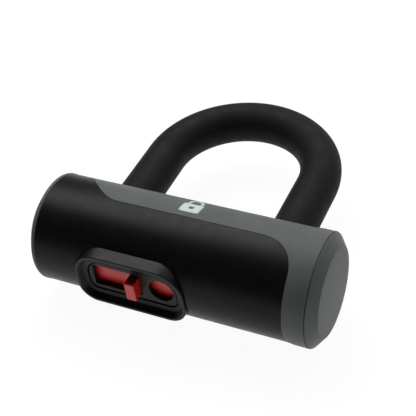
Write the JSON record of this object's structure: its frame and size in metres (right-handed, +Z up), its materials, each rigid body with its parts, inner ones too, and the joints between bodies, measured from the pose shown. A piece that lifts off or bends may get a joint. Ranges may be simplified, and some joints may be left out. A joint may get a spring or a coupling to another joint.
{
  "type": "disc brake lock",
  "caption": "Short hardened shackle in a thick sleeve, plugging into a round crossbar with a sliding keyhole cover.",
  "frame": {"origin": "under the middle of the lock lying flat: the centre of its outline, on the plane that the crossbar lies on", "axes": "+X along the crossbar towards the end whose grey band goes all the way round, +Y from the crossbar towards the bow of the shackle, +Z up out of the plane of the shackle"},
  "size_m": [0.132, 0.1315, 0.0488],
  "materials": {
    "cover_grey": "matte",
    "cover_black": "fine satin",
    "trim_black": "satin",
    "slider_red": "semi-gloss",
    "sleeve_rubber": "matte",
    "seal_rubber": "matte",
    "steel": "ground",
    "zinc": "as cast",
    "brass": "turned"
  },
  "bodies": {
    "crossbar": {"rear_jacket": "cover_grey", "front_jacket": "cover_black", "end_cap_right": "cover_grey", "end_cap_left": "cover_grey", "crossbar_tube": "steel", "end_plug_right": "steel", "plug_pin_right": "steel", "end_plug_left": "steel", "plug_pin_left": "steel", "lock_block": "zinc", "block_pin": "steel", "cylinder_housing": "brass", "circlip": "steel", "keyhole_collar": "trim_black", "key_plate": "trim_black", "leg_seal_left": "seal_rubber", "leg_seal_right": "seal_rubber"},
    "shackle": {"shackle_rod": "steel", "shackle_sleeve": "sleeve_rubber"},
    "key_core": {"cylinder_core": "brass", "key_pinion": "steel", "drill_guard_disc": "steel", "sidebar": "steel", "detainer_disc_1": "brass", "detainer_disc_2": "brass", "detainer_disc_3": "brass", "detainer_disc_4": "brass", "detainer_disc_5": "brass", "detainer_disc_6": "brass"},
    "right_bolt": {"bolt_right": "steel"},
    "left_bolt": {"bolt_left": "steel"},
    "dust_cover": {"dust_slider": "slider_red"}
  },
  "joints": [
    {"name": "shackle_pull", "type": "slide", "parent": "crossbar", "child": "shackle", "axis": [0, 1, 0], "range_m": [0, 0.045]},
    {"name": "key_turn", "type": "hinge", "parent": "crossbar", "child": "key_core", "pos_m": [-0.0015, -0.049, 0.0244], "axis": [0, 1, 0], "range_deg": [0, 90]},
    {"name": "right_bolt_throw", "type": "slide", "parent": "crossbar", "child": "right_bolt", "axis": [1, 0, 0], "range_m": [0, 0.0063]},
    {"name": "left_bolt_throw", "type": "slide", "parent": "crossbar", "child": "left_bolt", "axis": [-1, 0, 0], "range_m": [0, 0.0063]},
    {"name": "dust_cover_slide", "type": "slide", "parent": "crossbar", "child": "dust_cover", "axis": [-1, 0, 0], "range_m": [0, 0.017]}
  ],
  "couplings": [
    {"joint": "right_bolt_throw", "follows": "key_turn", "m_per_rad": 0.004},
    {"joint": "left_bolt_throw", "follows": "key_turn", "m_per_rad": 0.004}
  ]
}
